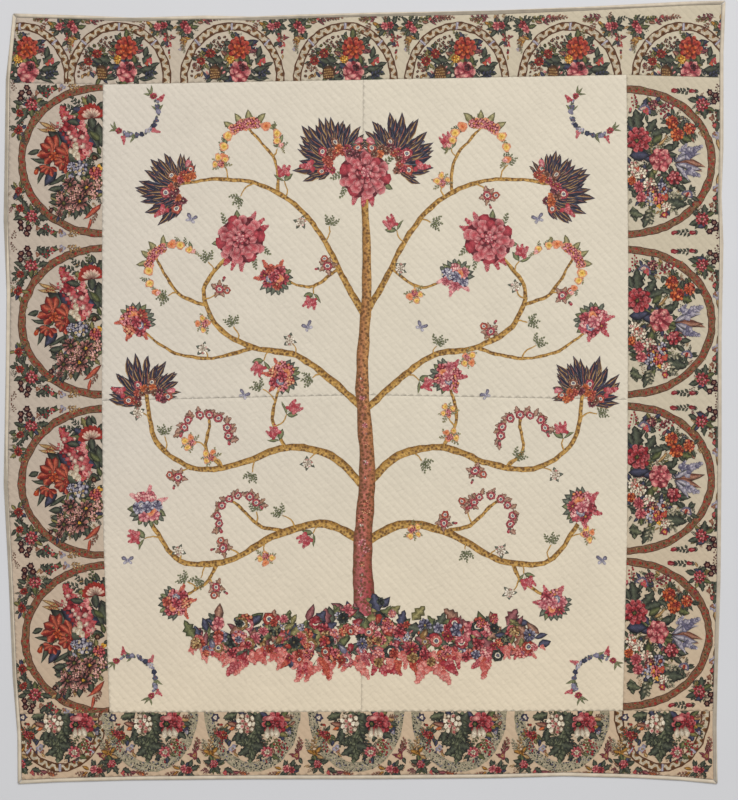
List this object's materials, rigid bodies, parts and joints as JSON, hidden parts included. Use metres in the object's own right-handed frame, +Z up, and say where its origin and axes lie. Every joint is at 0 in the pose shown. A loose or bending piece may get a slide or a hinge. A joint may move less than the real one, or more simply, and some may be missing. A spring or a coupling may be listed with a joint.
{
  "type": "chintz applique quilt",
  "caption": "Bed quilt lying flat, face up: plain cotton field with an applied flowering tree, printed chintz borders, slanting quilted channels and a narrow bound edge.",
  "frame": {"origin": "middle of the quilt's footprint, on the surface that it lies on", "axes": "+Z up out of the face, +Y along the length to the head end, +X across the width to the right as seen from above"},
  "size_m": [2.744, 2.9784, 0.0057],
  "materials": {
    "plain_cotton": "plain weave cotton, quilted, softly aged cream",
    "printed_chintz": "block-printed glazed cotton, quilted",
    "binding_cotton": "folded plain cotton tape",
    "bough_chintz": "printed glazed cotton, cut out and sewn down",
    "bed_chintz": "printed glazed cotton, cut out and sewn down",
    "peony_chintz": "printed glazed cotton, cut out and sewn down",
    "plume_chintz": "printed glazed cotton, cut out and sewn down",
    "garland_chintz": "printed glazed cotton, cut out and sewn down",
    "cluster_chintz": "printed glazed cotton, cut out and sewn down",
    "spray_chintz": "printed glazed cotton, cut out and sewn down"
  },
  "bodies": {
    "root": {"field_top_left": "plain_cotton", "field_top_right": "plain_cotton", "field_bottom_left": "plain_cotton", "field_bottom_right": "plain_cotton", "border_left": "printed_chintz", "border_right": "printed_chintz", "border_top": "printed_chintz", "border_bottom": "printed_chintz", "binding_left": "binding_cotton", "binding_top": "binding_cotton", "binding_right": "binding_cotton", "binding_bottom": "binding_cotton", "trunk": "bough_chintz", "bough_right_1": "bough_chintz", "bough_left_1": "bough_chintz", "bough_right_2": "bough_chintz", "bough_left_2": "bough_chintz", "bough_right_3": "bough_chintz", "bough_left_3": "bough_chintz", "bough_right_4": "bough_chintz", "bough_left_4": "bough_chintz", "flower_bed": "bed_chintz", "peony_top": "peony_chintz", "peony_right": "peony_chintz", "peony_left": "peony_chintz", "plume_top_right": "plume_chintz", "plume_top_left": "plume_chintz", "plume_high_right": "plume_chintz", "plume_high_left": "plume_chintz", "plume_low_right": "plume_chintz", "plume_low_left": "plume_chintz", "garland_high_right": "garland_chintz", "garland_high_left": "garland_chintz", "garland_side_right": "garland_chintz", "garland_side_left": "garland_chintz", "garland_inner_right": "garland_chintz", "garland_inner_left": "garland_chintz", "garland_low_right": "garland_chintz", "garland_low_left": "garland_chintz", "cluster_high_right": "cluster_chintz", "cluster_high_left": "cluster_chintz", "cluster_inner_right": "cluster_chintz", "cluster_inner_left": "cluster_chintz", "cluster_side_right": "cluster_chintz", "cluster_side_left": "cluster_chintz", "cluster_low_right": "cluster_chintz", "cluster_low_left": "cluster_chintz", "cluster_foot_right": "cluster_chintz", "cluster_foot_left": "cluster_chintz", "corner_spray_top_right": "spray_chintz", "corner_spray_top_left": "spray_chintz", "corner_spray_foot_right": "spray_chintz", "corner_spray_foot_left": "spray_chintz"}
  },
  "joints": []
}
